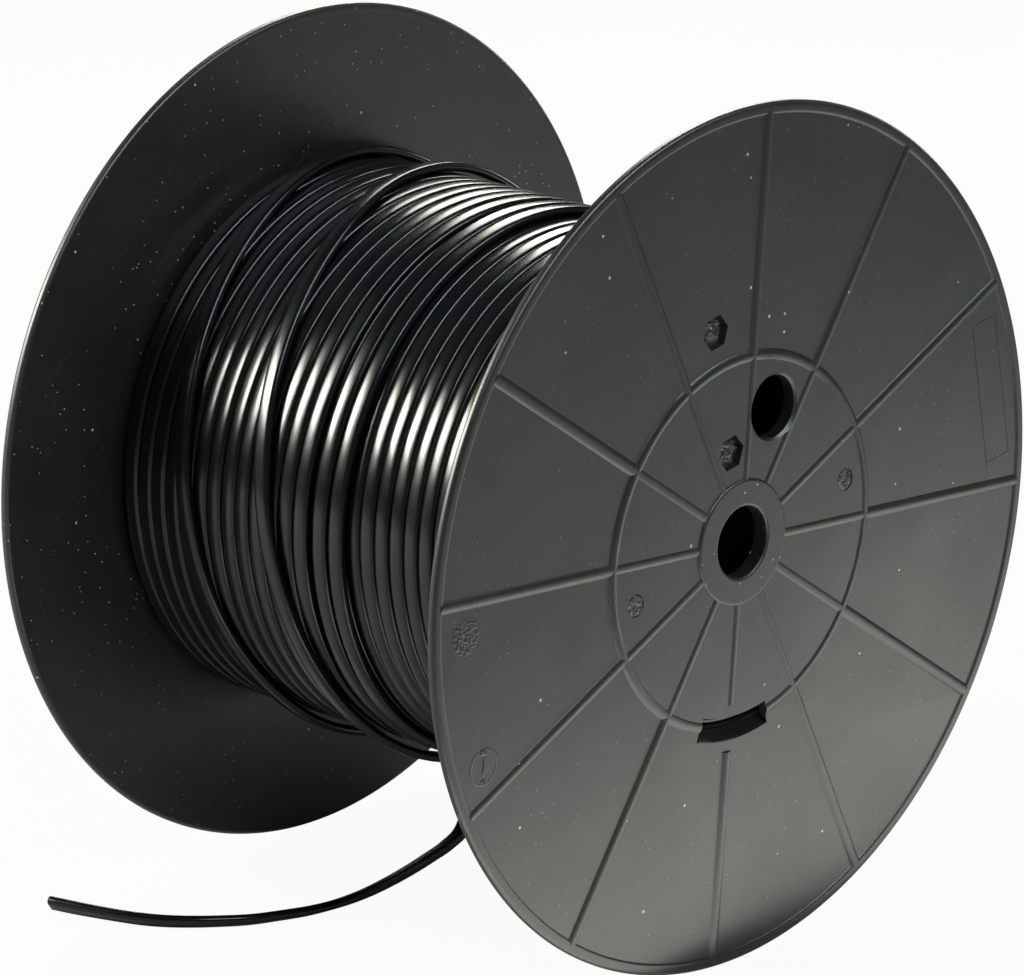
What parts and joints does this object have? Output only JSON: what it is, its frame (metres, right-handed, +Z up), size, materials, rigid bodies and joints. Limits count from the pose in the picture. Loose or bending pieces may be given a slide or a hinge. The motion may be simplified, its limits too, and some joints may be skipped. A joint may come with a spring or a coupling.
{
  "type": "plastic cable reel with wound cable",
  "caption": "Black moulded plastic reel with ribbed round flanges, lying on its rims, wound full with flat twin cable whose loose end lies on the floor.",
  "frame": {"origin": "floor point under the middle of the reel, which lies on its two rims", "axes": "+Y along the axle from the front flange to the rear flange, +Z up"},
  "size_m": [0.3, 0.2059, 0.3],
  "materials": {
    "reel_plastic": "satin, scuffed and dusty",
    "cable_jacket": "glossy"
  },
  "bodies": {
    "root": {"front_flange": "reel_plastic", "rear_flange": "reel_plastic", "barrel": "reel_plastic", "cable_winding": "cable_jacket", "cable_top_layer": "cable_jacket", "cable_start": "cable_jacket", "cable_tail": "cable_jacket"}
  },
  "joints": []
}
